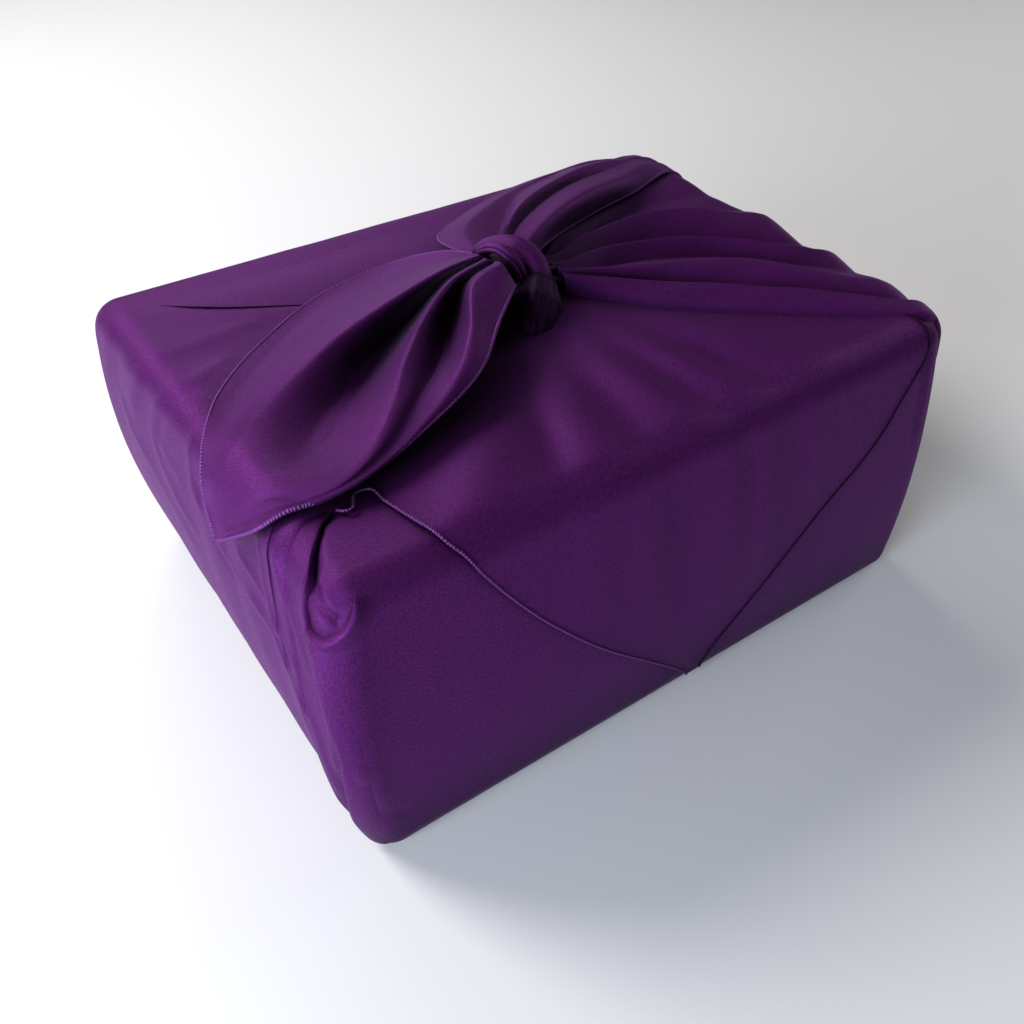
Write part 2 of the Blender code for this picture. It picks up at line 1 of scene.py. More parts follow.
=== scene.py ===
"""Looks of the furoshiki wrap: one purple satin cloth folded and knotted over a low box.

Sizes are in millimetres and are turned into metres when a mesh is made.
+X is the long side, -Y the side with the V flap, +Z up, origin under the middle.
"""

import math

import bpy
import numpy as np
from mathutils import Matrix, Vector


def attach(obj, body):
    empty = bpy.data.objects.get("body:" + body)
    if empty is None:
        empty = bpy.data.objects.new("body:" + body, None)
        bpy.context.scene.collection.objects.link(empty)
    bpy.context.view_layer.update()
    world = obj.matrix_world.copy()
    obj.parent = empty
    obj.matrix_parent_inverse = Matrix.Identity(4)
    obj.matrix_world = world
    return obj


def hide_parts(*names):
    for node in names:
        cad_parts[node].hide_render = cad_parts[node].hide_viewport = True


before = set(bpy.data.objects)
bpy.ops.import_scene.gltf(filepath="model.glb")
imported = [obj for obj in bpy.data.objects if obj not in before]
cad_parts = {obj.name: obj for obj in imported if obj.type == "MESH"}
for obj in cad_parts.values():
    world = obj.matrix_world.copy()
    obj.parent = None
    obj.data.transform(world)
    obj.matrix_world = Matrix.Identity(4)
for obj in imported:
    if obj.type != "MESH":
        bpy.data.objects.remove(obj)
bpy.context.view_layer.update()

# ---- sizes of the bundle -----------------------------------------------------
LENGTH, DEPTH, HEIGHT = 248.0, 188.0, 115.0
HX, HY = LENGTH / 2, DEPTH / 2
EDGE_RADIUS = 9.0
TOP_RADIUS = 9.0
FOOT_RADIUS = 4.0
END_BULGE = 7.1
SIDE_BULGE = 5.0
DEEPEST = -2.0           # a groove stays above the box
FINE, COARSE = 0.75, 3.0 # spacing of the body's mesh near the folded corner and elsewhere
FINE_SPAN = (24, 34, 24) # reach of the fine spacing from that corner along x, y and z
BODY_CLOTH = 0.8         # thickness of the cloth of the body
CLOTH = 0.9              # thickness of the free ends as seen
WELD = 0.02              # points of the body's faces closer than this are one point
HEM_RADIUS = 0.7
FLAP_HEM_RADII = (0.5, 0.45)
HEM_SIDES = 8
MM = 1000.0              # millimetres in a metre
DIAGONAL = 0.7071        # side of a square with a diagonal of 1
X, Z = 0, 2              # places of x and z in a point

# ---- the camera, at the photograph's viewing angle; metres, but lens and sensor in mm --------
CAMERA_PLACE = (-0.1873, -0.2729, 0.3105)
CAMERA_AIM = (-0.0250, -0.0286, 0.05)
SENSOR, LENS = 36, 36.69
FRAME = 1024             # pixels of the frame, each way

# ---- tables of the folds -----------------------------------------------------
# How far a corner of the sharp box (side in x, side in y, 1 for the top) moves in x, y and z
CORNER_SHIFT = [
    (-1, -1, 1, 0.0, 0.1, 0.0),
    (1, -1, 1, -0.9, 4.8, -0.2),
    (1, 1, 1, 0.2, -0.3, -0.3),
    (-1, 1, 1, -5.8, 0.5, 0.8),
    (-1, -1, 0, 1.7, -5.5, 0.0),
    (1, -1, 0, -0.2, -0.9, 0.0),
    (-1, 1, 0, 1.5, 0.5, 0.0),
]

# Folds laid on the sharp box: height at the start and the end (grooves are
# negative), width (or the widths right and left of the line), and the line they follow
PLACED_FOLDS = {
    "corner gap": (-2.0, -2.0, 1.9, [(-103, -61, 115), (-112, -64, 115), (-117, -70, 115),
                   (-121, -76, 115), (-124, -80, 112), (-124, -86, 109), (-124, -92, 107.5),
                   (-121, -94, 106)]),
    "corner lap": (2.4, 2.4, (1.1, 9), [(-124, -82.5, 99.5), (-124, -84, 95.5), (-124, -87, 91),
                   (-124, -89, 85), (-124, -90, 76), (-124, -92, 66.5), (-124, -93, 57),
                   (-124, -91.5, 40), (-124, -89, 22), (-124, -88, -4)]),
    "corner crease": (-2.0, -2.6, 1.5, [(-124, -80, 97), (-124, -82.5, 92), (-124, -85, 85),
                      (-124, -87, 76), (-124, -89, 66), (-124, -90, 57), (-124, -88.5, 40),
                      (-124, -86, 22), (-124, -85, -2)]),
    "side hollow": (-0.4, -2.2, 2.8, [(-124, -83, 83), (-124, -85, 66), (-124, -86, 45),
                    (-124, -83, 22), (-124, -82, -4)]),
    "side swell": (0.3, 2.8, 5.5, [(-124, -70, 78), (-124, -73, 60), (-124, -76, 40),
                   (-124, -77, 20), (-124, -78, -14)]),
    "low fold": (0.9, -0.2, 2.4, [(-121, -94, 58), (-119, -94, 41), (-109, -94, 30)]),
    "low crease": (-0.7, -0.3, 1.8, [(-119, -94, 49), (-120, -94, 36), (-118, -94, 27),
                   (-109, -94, 20)]),
    "side pleat 1": (0.8, 0.7, 2.2, [(-124, -36, 80), (-124, -58, 76), (-124, -76, 58),
                     (-124, -81, 20)]),
    "side pleat 2": (0.9, 0.7, 1.7, [(-124, -81, 94), (-124, -84, 83), (-124, -85, 64),
                     (-124, -83, 40)]),
    "side pleat 3": (0.7, 0.5, 1.8, [(-124, -34, 93), (-124, -45, 90), (-124, -61, 84),
                     (-124, -72, 74)]),
    "side pleat 4": (0.7, 0.4, 1.6, [(-124, -52, 108), (-124, -54, 93), (-124, -62, 80)]),
    "side pleat 5": (0.7, 0.5, 1.8, [(-124, -60, 112), (-124, -66, 102), (-124, -72, 92),
                     (-124, -79, 78)]),
    "tip pleat": (0.7, 0.5, 2.8, [(-122, -2, 115), (-124, -2, 105), (-124, -2, 92),
                  (-124, -18, 82), (-124, -38, 78)]),
    "tip hollow": (-0.7, -0.4, 2.6, [(-124, -6, 100), (-124, -9, 88), (-124, -19, 79),
                   (-124, -31, 75)]),
    "left streak": (0.9, 0.6, 4.0, [(-76, 42, 115), (-106, 40, 115), (-117, 41, 115),
                    (-124, 43, 107), (-124, 54, 88)]),
    "left fold": (0.8, 0.4, 3.4, [(-94, 29, 115), (-113, 20, 115), (-124, 24, 109),
                  (-124, 34, 92), (-124, 28, 82), (-124, 16, 74), (-124, 0, 66)]),
    "left dark": (-0.9, -0.4, 2.8, [(-114, 15, 115), (-122, 16, 115), (-124, 24, 102),
                  (-124, 28, 92)]),
    "left light": (0.4, 0.2, 2.6, [(-124, 26, 94), (-124, 19, 90), (-124, 8, 87)]),
    "left low": (0.7, 0.4, 4.5, [(-124, 68, 91), (-124, 57, 78), (-124, 35, 65),
                 (-124, 9, 57)]),
    "back corner left": (1.5, 0.6, (2.0, 7), [(-121, 94, 112), (-112, 94, 92), (-98, 94, 58),
                         (-88, 94, 10)]),
    "back corner right": (1.6, 0.6, (7, 2.0), [(121, 94, 112), (111, 94, 90), (99, 94, 55),
                          (92, 94, 10)]),
    "back soft 1": (1.6, 0.9, 8, [(-52, 94, 116), (-58, 94, 60), (-64, 94, 8)]),
    "back hollow 1": (-1.4, -0.7, 6, [(-34, 94, 116), (-36, 94, 60), (-40, 94, 8)]),
    "back soft 2": (1.5, 0.8, 8, [(-8, 94, 116), (-4, 94, 60), (2, 94, 8)]),
    "back hollow 2": (-1.4, -0.7, 6, [(18, 94, 116), (20, 94, 60), (26, 94, 8)]),
    "back soft 3": (1.7, 0.9, 8, [(46, 94, 116), (52, 94, 55), (60, 94, 8)]),
    "right strip": (-1.2, -0.6, 1.5, [(113, -94, 113), (112.5, -94, 104), (112, -94, 86),
                    (111, -94, 68)]),
    "right crease": (0.5, 0.2, 3.0, [(92, -94, 86), (111, -94, 69)]),
}

# Slow waves of the front and the back: height, squeeze of z, seed and scale of the ripples
FRONT_WAVES = [(0.175, 0.35, 4, 13), (0.0875, 0.4, 9, 6)]
BACK_WAVES = [(0.9, 0.3, 5, 15), (0.4, 0.4, 7, 7)]

# Soft swells of the flap: start x, path distance, end x, path distance, height, width
FLAP_SWELLS = [
    (-34, 40, -77, 88, 2.3, 12),
    (-18, 36, -30, 88, 1.5, 10),
    (0, 34, 5, 86, 1.7, 8),
    (16, 32, 28, 80, 1.8, 7.5),
    (28, 32, 60, 80, 2.4, 9),
    (-22, 30, -46, 92, -1.1, 6),
    (-7, 30, -13, 92, -0.9, 6),
    (9, 32, 18, 90, -1.0, 5),
    (22, 32, 43, 88, -1.1, 5.5),
    (-38, 90, -38, 150, 0.6, 8),
    (-19, 90, -17, 150, 0.8, 7),
    (14, 90, 15, 150, 0.8, 6),
    (32, 90, 34, 150, 0.8, 6),
    (54, 88, 54, 140, 0.6, 6),
    (-3, 90, -4, 145, -0.7, 6),
    (26, 90, 24, 145, -0.5, 5),
    (45, 90, 44, 140, -0.5, 5),
]
FLAP_LIFT, FLAP_SUNK = 1.3, 0.6        # height over the bundle, and depth of the back edge
FLAP_RISE, FLAP_TIP = (-84, -60), (180, 206)    # path distances of its rise and of its flat tip
FLAP_CLIMB, FLAP_REACH = 11.0, 17.0    # rise towards the knot and how far it reaches
FLAP_ROWS, FLAP_COLUMNS = 190, 130
FLAP_RIPPLE, EAR_RIPPLE, TAIL_RIPPLE = 0.12, 0.18, 0.35
HEM_ROWS = (98, 100)                   # rows of the flap where its left and right hem start

# The flap: distance along the cloth from the middle of the top (back is negative),
# then left and right edge x
FLAP_EDGES = [
    (-84, -116, 104),
    (-60, -92, 66),
    (-40, -58, 46),
    (-20, -36, 28),
    (0, -26, 24),
    (20, -40, 34),
    (45, -80, 62),
    (58, -95.5, 82),
    (66, -93, 92),
    (76, -91, 104),
    (88, -88, 112),
    (94, -86, 114),
    (101, -81, 113),
    (115, -71, 100),
    (131, -59, 87),
    (148, -45, 62),
    (164, -31, 45),
    (180, -15, 29),
    (196, 0, 16),
    (206.5, 9, 12.5),
]

# Folds of an ear: y at six distances from the knot (over the end's edge and down),
# height of the fold line over the top, and how sharp it is (0 soft, 1 creased)
EAR_STATIONS = (12, 45, 80, 119, 165, 232)
RIGHT_EAR = [
    (-11, -37, -66, -91, -88, -88, -0.6, 1.0),
    (-10.5, -34, -62, -88, -86, -87, 3.2, 0.2),
    (-8, -25, -52, -82, -82, -84, 5.8, 0.9),
    (-7.5, -21, -48, -79, -76, -78, 1.2, 0.7),
    (-5, -12, -29, -66, -68, -70, 6.4, 0.3),
    (-3, 0, -13, -49, -58, -62, 1.6, 0.8),
    (-1.5, 6, -6, -37, -45, -50, 6.6, 0.8),
    (0, 9, -1, -32, -36, -40, 3.2, 0.5),
    (1, 13, 8, -22, -24, -26, 1.2, 0.8),
    (3, 18, 20, 1, -8, -12, 7.2, 0.6),
    (4, 22, 28, 12, 8, 6, 2.6, 0.5),
    (5, 26, 39, 33, 30, 26, 0.8, 0.6),
    (8, 36, 54, 58, 52, 48, 3.0, 0.2),
    (9, 44, 63, 73, 70, 68, 1.0, 0.5),
    (10, 50, 70, 82, 82, 84, 2.2, 0.2),
    (10, 54, 75, 90, 88, 88, -0.8, 1.0),
]
LEFT_EAR = [
    (-6, -31, -48, -66, -74, -82, -0.8, 1.0),
    (-5, -27, -44, -62, -70, -78, 2.2, 0.2),
    (-4, -22, -38, -55, -64, -74, 0.8, 0.6),
    (-3, -15, -31, -54, -62, -74, 2.3, 0.3),
    (-2, -11, -24, -44, -52, -66, 0.6, 0.6),
    (-1, -7, -15, -31, -38, -54, 2.2, 0.3),
    (0, -2, -8, -20, -26, -42, 0.6, 0.6),
    (0, 2, 1, -6, -10, -26, 2.0, 0.3),
    (1, 6, 8, 6, 4, -10, 0.6, 0.6),
    (2, 11, 16, 20, 20, 6, 1.9, 0.3),
    (3, 15, 24, 34, 36, 26, 0.6, 0.5),
    (4, 20, 33, 48, 52, 46, 1.8, 0.3),
    (5, 26, 42, 62, 68, 66, 0.5, 0.5),
    (5, 31, 50, 73, 80, 82, 0.9, 0.2),
    (6, 42, 66, 91, 92, 92, -0.8, 0.2),
]
EAR_SHARE = {1: 1.15, -1: 1.0}                  # of the heights above, right and left
EAR_FADES = {1: (0.5, 0.4), -1: (0.62, 0.6)}    # loss of height over the edge, and down the end
EAR_CLIMB, EAR_REACH = 9.0, 20.0                # rise towards the knot and how far it reaches

# The large free end over the left end, one row a fold, from the knot outwards, ending with
# its hanging point: how sharp the fold is, then its points as the camera sees them. A point
# is pixel x, pixel y, the axis on which its place is known, that place, and for some how far
# it is lowered from there.
LEFT_TAIL = {
    "back hem": (0, [
        (474, 254, Z, 133), (440, 253, Z, 128), (390, 264, Z, 122), (318, 296, Z, 119.5),
        (258, 345, Z, 119), (222, 388, Z, 118.8), (207, 424, Z, 118), (202, 462, X, -127.2),
        (206, 502, X, -129.5), (216, 539, X, -131)]),
    "back hollow": (0.2, [
        (477, 255, Z, 134), (437, 262, Z, 128.5), (388, 280, Z, 123), (320, 315, Z, 120),
        (264, 366, Z, 119.2), (232, 408, Z, 119), (216, 438, Z, 118.5), (208, 470, X, -127.2),
        (209, 507, X, -129.5), (216.5, 539.3, X, -131)]),
    "first crest": (0.35, [
        (480, 256, Z, 138), (445, 270, Z, 136.5), (405, 293, Z, 134), (343, 334, Z, 131),
        (300, 372, Z, 127.5), (265, 408, Z, 124), (237, 444, Z, 121.3), (219, 482, X, -127),
        (213, 512, X, -129.5), (217, 539.6, X, -131)]),
    "deep hollow": (0, [
        (484, 258, Z, 135), (450, 276, Z, 130), (412, 318, Z, 121.5), (370, 365, Z, 118.4),
        (338, 410, Z, 118.4), (315, 447, Z, 118.4), (280, 478, Z, 120.6), (246, 499, Z, 115.2),
        (223, 521, Z, 106), (217.5, 540, X, -131)]),
    "second crest": (0.5, [
        (488, 260, Z, 138.5), (452, 282, Z, 136), (425, 317, Z, 134.5), (404, 362, Z, 132),
        (392, 403, Z, 129.5, 0.5), (370, 447, Z, 126, 1.4), (332, 484, Z, 121.8, 0.6),
        (266, 511, Z, 115.6), (229, 527, Z, 106.4), (218, 540.2, X, -131)]),
    "short hollow": (0.2, [
        (495, 262, Z, 136), (466, 284, Z, 130), (451, 321, Z, 125.5), (440, 362, Z, 125.5),
        (420, 398, Z, 126.3), (388, 443, Z, 124.5, 0.9), (338, 487, Z, 121, 0.1),
        (268, 516, Z, 115.2), (231, 530, Z, 106.3), (218.3, 540.3, X, -131)]),
    "front crest": (0.4, [
        (502, 264, Z, 139), (473, 284, Z, 138), (471, 330, Z, 135.5), (460, 370, Z, 131.5),
        (434, 408, Z, 127.5, 0.7), (392, 452, Z, 124, 1.2), (343, 490, Z, 120.6, 0.1),
        (269, 520, Z, 114.8), (233, 532.5, Z, 106.2), (218.6, 540.4, X, -131)]),
    "front hem": (0, [
        (515, 285, Z, 134), (499, 322, Z, 133), (485, 362, Z, 130), (464, 391, Z, 127.3),
        (430, 424, Z, 124.5), (389, 460, Z, 122), (345, 490, Z, 120), (270, 524, Z, 114.3),
        (236, 536.5, Z, 106), (219, 540.5, X, -131)]),
}

# The small free end to the far right corner: how sharp each fold is, and its points from
# the knot outwards. A point is its place, or the pixel where it is seen and its height.
RIGHT_TAIL = {
    "back hem": (0, [
        (-8, 14, 131), (-6, 46, 124), (17, 65, 120.5), (42, 76, 119.5), (69, 81, 119),
        (98, 82, 118)]),
    "back fold": (0.3, [
        (-7, 13, 132), (2, 40, 127.5), (18, 56, 124.5), (43, 71, 121.5), (72, 79, 120),
        (101, 80, 118.4)]),
    "valley": (0.6, [
        (-4, 12, 130), ((508, 226), 125), ((520, 196), 122), ((540, 183), 120.5),
        ((574, 168), 119.6), (105, 77, 118.4)]),
    "middle fold": (0.4, [
        (-3, 10, 131), ((512, 226), 129.5), ((529, 202), 129), ((555, 182), 126.5),
        ((594, 165), 123), (108, 74, 118.4)]),
    "crease": (0.8, [
        (-1, 8, 129), ((520, 229), 126), ((542, 205), 123.5), ((570, 187), 121.5),
        ((607, 172), 120.4), (111, 71, 118)]),
    "lobe": (0.1, [
        (0, 5, 130), ((537, 235), 132.5), ((561, 211), 133), ((594, 191), 130.5),
        ((628, 177), 125), (114, 66, 118)]),
    "front edge": (0, [
        (1, 1, 128), ((549, 247), 126.5), ((580, 223), 122), ((611, 206), 120),
        ((638, 191), 119), (115, 58, 117.6)]),
}
# Where it hangs down the right end: height, then y of its back hem and of its front edge
RIGHT_TAIL_DROP = [
    (108, 73, 57),
    (101, 69, 60),
]
LEFT_CLEAR, RIGHT_CLEAR = 3.4, 1.9    # room of a free end over the bundle
TAIL_LENGTH, TAIL_WIDTH = 150, 90     # rough size of a free end, for its ripples

# Strands of the knot: route, radius at its start, middle and end, pleats round it, their depth
KNOT_STRANDS = {
    "knot_core": ([(17, 4, 116), (8, 3, 120), (0, 4, 124.5), (-6, 7, 127), (-9, 11, 126)],
                  (8, 9.5, 7), 5, 0.05),
    "knot_wrap": ([(-7, 21, 124), (-5, 20, 129.5), (-1, 15, 132.5), (2, 8.5, 133),
                   (4, 2, 130.5), (4, -3, 125.5), (3, -5, 119)], (4, 5.6, 5), 3, 0.03),
    "knot_bulb": ([(4, -1, 121), (1, -5, 123), (-4, -11, 121.5), (-8, -16, 118),
                   (-10, -18, 115)], (6.5, 10, 6.5), 13, 0.045),
    "knot_gather": ([(22, 6, 117), (14, 3, 120.5), (7, 0, 124.5), (2, 1, 127)],
                    (6, 7, 6), 9, 0.08),
    "knot_collar": ([(-7, 23, 126), (-9.1, 17.1, 132.2), (-9.4, 10.6, 137.0),
                     (-7.9, 5.7, 138.8), (-6.4, 1.2, 137.8), (-4.5, -1.9, 134.5),
                     (-3, -3.5, 129.5), (-1.5, -3, 124)], (1.3, 1.6, 1.3), 0, 0),
    "knot_collar_edge": ([(-9, 21, 126), (-11, 15.5, 132.5), (-11.3, 9, 137),
                          (-9.8, 4, 138.6), (-8.3, -0.5, 137.4), (-6.4, -3.6, 133.5),
                          (-5, -4.7, 128.5), (-3.5, -3.7, 123)], (0.8, 0.9, 0.8), 0, 0),
}

# Edges of cloth at the near corner, the pouch's rolled lip and the lap below it: points of
# the sharp box with the height of the edge, and the section across it as steps sideways,
# share of that height and extra height
POUCH_LIP = [
    (-110, -85, 115, -0.9), (-113, -90, 115, -0.6), (-115.5, -93.5, 113.2, 0.1),
    (-117.5, -94, 108.5, 1.6), (-120.5, -94, 105, 2.4), (-124, -92, 102.2, 2.7),
    (-124, -87, 100.2, 2.5), (-124, -82.6, 99.8, 2.1), (-124, -80.5, 103.5, 1.7),
    (-124, -79.5, 108.5, 1.5), (-123, -76.5, 114, 1.2), (-117, -70.5, 115, 1.0),
    (-112.5, -65, 115, 0.6), (-108, -61.5, 115, -0.4),
]
LIP_SECTION = [
    (-1.3, 0, -2.4), (-1.0, 0.1, -0.9), (-0.6, 0.7, 0), (-0.1, 0.97, 0), (0.5, 1, 0),
    (1.5, 0.8, 0), (3.0, 0.5, 0), (5.0, 0.2, 0), (7.5, 0, -0.3),
]
CORNER_LAP = [
    (-124, -83.5, 97.5, -0.5), (-124, -85.5, 94, 1.6), (-124, -87.5, 90, 2.2),
    (-124, -89, 85, 2.4), (-124, -90, 76, 2.5), (-124, -92, 66.5, 2.6),
    (-124, -93, 57, 2.6), (-124, -91.5, 40, 2.6), (-124, -89, 22, 2.5), (-124, -88, 3, 1.0),
]
LAP_SECTION = [
    (-1.3, 0.75, -0.1), (-1.5, 0.9, 0), (-1.2, 1.03, 0.15), (-0.4, 1.05, 0.25),
    (0.8, 1.0, 0.2), (2.5, 0.92, 0.1), (4.0, 0.82, 0), (5.5, 0.69, -0.15), (7, 0.55, -0.4),
]

# Loose fold of the flap's hem at its left corner: x and path distance
HEM_CURL = [
    (-106, 63), (-104.5, 65.5), (-102, 65.5), (-100.5, 63), (-98.5, 60.5), (-95.5, 60.5),
    (-93.5, 62),
]
CURL_LIFT, CURL_RADIUS = 1.8, 0.45

# ---- shape helpers -----------------------------------------------------------


def smooth(low, high, value):
    """0 up to low, 1 from high on, and a soft step between; low may be above high."""
    t = np.clip((np.asarray(value, float) - low) / (high - low), 0, 1)
    return t * t * (3 - 2 * t)


def unit(v):
    """Vectors of length 1, along the last axis."""
    return v / np.maximum(np.linalg.norm(v, axis=-1, keepdims=True), 1e-9)


def warp(points):
    """Move points with the soft bundle's shifted corners and swollen sides."""
    p = np.array(points, float)
    u = np.clip(p / (LENGTH, DEPTH, HEIGHT) + (0.5, 0.5, 0.0), 0, 1)
    moved = p.copy()
    for sx, sy, top, dx, dy, dz in CORNER_SHIFT:
        share = (u[..., 0] if sx > 0 else 1 - u[..., 0])
        share = share * (u[..., 1] if sy > 0 else 1 - u[..., 1])
        share = share * (u[..., 2] if top else 1 - u[..., 2])
        moved += share[..., None] * np.array([dx, dy, dz])
    belly = 4 * u[..., 2] * (1 - u[..., 2])
    moved[..., 0] += belly * END_BULGE * np.minimum(2 * u[..., 0] - 1, 0)
    moved[..., 1] += belly * SIDE_BULGE * (2 * u[..., 1] - 1)
    return moved


def pixel_ray(pixel_x, pixel_y):
    """Place of the camera and its ray through a pixel."""
    place, aim = np.array(CAMERA_PLACE) * MM, np.array(CAMERA_AIM) * MM
    ahead = unit(aim - place)
    right = unit(np.cross(ahead, (0, 0, 1)))
    up = np.cross(right, ahead)
    aside, down = ((pixel - FRAME / 2) * SENSOR / (LENS * FRAME) for pixel in (pixel_x, pixel_y))
    return place, ahead + right * aside - up * down


def sighted(pixel, height):
    """Point at a pixel and a height, to the nearest mm; warp() has yet to move it."""
    place, ray = pixel_ray(*pixel)
    x, y, _ = place + ray * (height - place[Z]) / ray[Z]
    return round(x), round(y), height


def seen(pixel_x, pixel_y, axis, level, lowered=0.0):
    """Point, before warp(), that the camera sees at a pixel, where one coordinate is known."""
    place, ray = pixel_ray(pixel_x, pixel_y)
    point, shift = np.zeros(3), np.zeros(3)
    for _ in range(20):      # by then the shift has long settled
        point = place + ray * (level + shift[axis] - place[axis]) / ray[axis] - shift
        shift = warp(point) - point
    return point - (0, 0, lowered)


def rounded(points):
    """From points of a sharp box to the rounded box: place and outward normal."""
    p = np.asarray(points, float)
    low = np.array([-HX + EDGE_RADIUS, -HY + EDGE_RADIUS, FOOT_RADIUS])
    high = np.array([HX - EDGE_RADIUS, HY - EDGE_RADIUS, HEIGHT - TOP_RADIUS])
    core = np.clip(p, low, high)
    upright = np.where(p[..., 2] < HEIGHT / 2, FOOT_RADIUS, TOP_RADIUS)
    radii = np.stack([np.full(upright.shape, EDGE_RADIUS)] * 2 + [upright], -1)
    turn = unit((p - core) / radii)
    out = unit(turn / radii)
    return core + turn * radii, out


def placed_folds(place):
    """Height of the listed folds at points of the rounded box."""
    p = np.asarray(place, float)
    total = np.zeros(p.shape[:-1])
    for first, last, width, line in PLACED_FOLDS.values():
        line, out = rounded(np.array(line, float))
        right, left = width if isinstance(width, tuple) else (width, width)
        near = np.abs(p - np.clip(p, line.min(0), line.max(0))).max(-1) < 3 * max(right, left)
        spot = p[near]
        best = np.full(len(spot), 1e9)
        level = np.zeros(len(spot))
        reach = np.full(len(spot), float(right))
        for i, (a, b) in enumerate(zip(line[:-1], line[1:])):
            d = b - a
            t = np.clip((spot - a) @ d / (d @ d), 0, 1)
            gap = spot - a - t[:, None] * d
            away = np.linalg.norm(gap, axis=-1)
            closer = away < best
            on_left = gap @ np.cross(out[i], d) > 0
            reach = np.where(closer, np.where(on_left, left, right), reach)
            best = np.where(closer, away, best)
            level = np.where(closer, (i + t) / (len(line) - 1), level)
        height = first + (last - first) * level
        height *= smooth(-0.02, 0.12, level) * smooth(1.02, 0.88, level)
        total[near] += height * np.exp(-(best / reach) ** 2)
    return np.maximum(total, DEEPEST)


def skin(points, lift):
    """Points of the bundle's outside over points of the sharp box, lifted and folded."""
    place, out = rounded(points)
    lift = np.asarray(lift) + placed_folds(place)
    return warp(place + out * lift[..., None])


def along_end(side, s, y):
    """Sharp-box point at a distance over the top from the middle and down an end."""
    s, y = np.broadcast_arrays(np.asarray(s, float), y)
    return np.stack([side * np.minimum(s, HX), y, HEIGHT - np.maximum(s - HX, 0)], -1)


def along_front(x, s):
    """The same towards the front, at a distance over the top from the middle, back negative."""
    x, s = np.broadcast_arrays(np.asarray(x, float), s)
    y = -np.clip(s, -HY, HY)
    return np.stack([x, y, HEIGHT - np.maximum(np.abs(s) - HY, 0)], -1)


def ridge_field(a, b, table):
    """Sum of soft straight ridges over a plane, from rows a0, b0, a1, b1, height, width."""
    total = np.zeros(np.broadcast(a, b).shape)
    for a0, b0, a1, b1, height, width in table:
        da, db = a1 - a0, b1 - b0
        t = ((a - a0) * da + (b - b0) * db) / (da * da + db * db)
        away = np.hypot(a - a0 - t * da, b - b0 - t * db)
        total += height * np.exp(-(away / width) ** 2) * smooth(-0.2, 0.7, t) * smooth(1.5, 0.6, t)
    return total


def ripples(a, b, seed, scale):
    """Small smooth unevenness of cloth, a sum of fixed waves of about unit size."""
    rng = np.random.RandomState(seed)
    total = np.zeros(np.broadcast(a, b).shape)
    for _ in range(9):
        turn, phase = rng.uniform(0, 2 * math.pi, 2)
        pitch = scale * rng.uniform(0.6, 1.8)
        total += np.sin((a * math.cos(turn) + b * math.sin(turn)) / pitch + phase)
    return total / 3


def through(points, t):
    """Smooth curve through points (first axis), for an array of t from 0 to 1."""
    points = np.asarray(points, float)
    last = len(points) - 1
    place = np.clip(t, 0, 1) * last
    i = np.minimum(place.astype(int), last - 1)
    f = (place - i).reshape((-1,) + (1,) * (points.ndim - 1))
    p0, p1 = points[np.maximum(i - 1, 0)], points[i]
    p2, p3 = points[i + 1], points[np.minimum(i + 2, last)]
    m1, m2 = (p2 - p0) / 2, (p3 - p1) / 2
    return ((2 * f**3 - 3 * f**2 + 1) * p1 + (f**3 - 2 * f**2 + f) * m1
            + (-2 * f**3 + 3 * f**2) * p2 + (f**3 - f**2) * m2)


def across(rows, sharp, t):
    """Curve through fold rows (first axis); a row's sharpness turns it into a crease."""
    rows = np.asarray(rows, float)
    sharp = np.asarray(sharp, float)
    sharp = sharp.reshape(sharp.shape + (1,) * (rows.ndim - sharp.ndim))
    last = len(rows) - 1
    place = np.clip(t, 0, 1) * last
    i = np.minimum(place.astype(int), last - 1)
    f = (place - i).reshape((-1,) + (1,) * (rows.ndim - 1))
    p1, p2 = rows[i], rows[i + 1]
    step = p2 - p1
    soft1 = (p2 - rows[np.maximum(i - 1, 0)]) / 2
    soft2 = (rows[np.minimum(i + 2, last)] - p1) / 2
    k1, k2 = sharp[i], sharp[i + 1]
    m1 = soft1 * (1 - k1) + 1.5 * step * k1
    m2 = soft2 * (1 - k2) + 1.5 * step * k2
    return ((2 * f**3 - 3 * f**2 + 1) * p1 + (f**3 - 2 * f**2 + f) * m1
            + (-2 * f**3 + 3 * f**2) * p2 + (f**3 - f**2) * m2)


def evened(values, span=9):
    """Running mean, with the end values repeated past the ends."""
    return np.convolve(np.pad(values, span // 2, mode="edge"), np.ones(span) / span, "valid")


def grid_normals(grid):
    """Unit normal at each point of a grid."""
    normals = np.cross(np.gradient(grid, axis=0), np.gradient(grid, axis=1))
    return unit(normals)


# ---- mesh helpers ------------------------------------------------------------

def new_mesh(name, points, faces, uvs):
    """A smooth mesh from points in mm and faces; uvs are per point."""
    mesh = bpy.data.meshes.new(name)
    mesh.from_pydata((points / MM).tolist(), [], faces)
    layer = mesh.uv_layers.new(name="cloth")
    corners = np.empty(len(mesh.loops), np.int32)
    mesh.loops.foreach_get("vertex_index", corners)
    layer.data.foreach_set("uv", uvs.astype(np.float32)[corners].ravel())
    mesh.polygons.foreach_set("use_smooth", np.ones(len(mesh.polygons), bool))
    obj = bpy.data.objects.new(name, mesh)
    bpy.context.scene.collection.objects.link(obj)
    return obj


def quads_of(rows, columns, start=0, closed=False):
    """Four-sided faces of a grid of points; a closed grid joins its last column to its first."""
    i = np.arange(rows - 1)[:, None] * columns
    j = np.arange(columns if closed else columns - 1)[None, :]
    k = (j + 1) % columns
    return np.stack([i + j, i + columns + j, i + columns + k, i + k], -1).reshape(-1, 4) + start


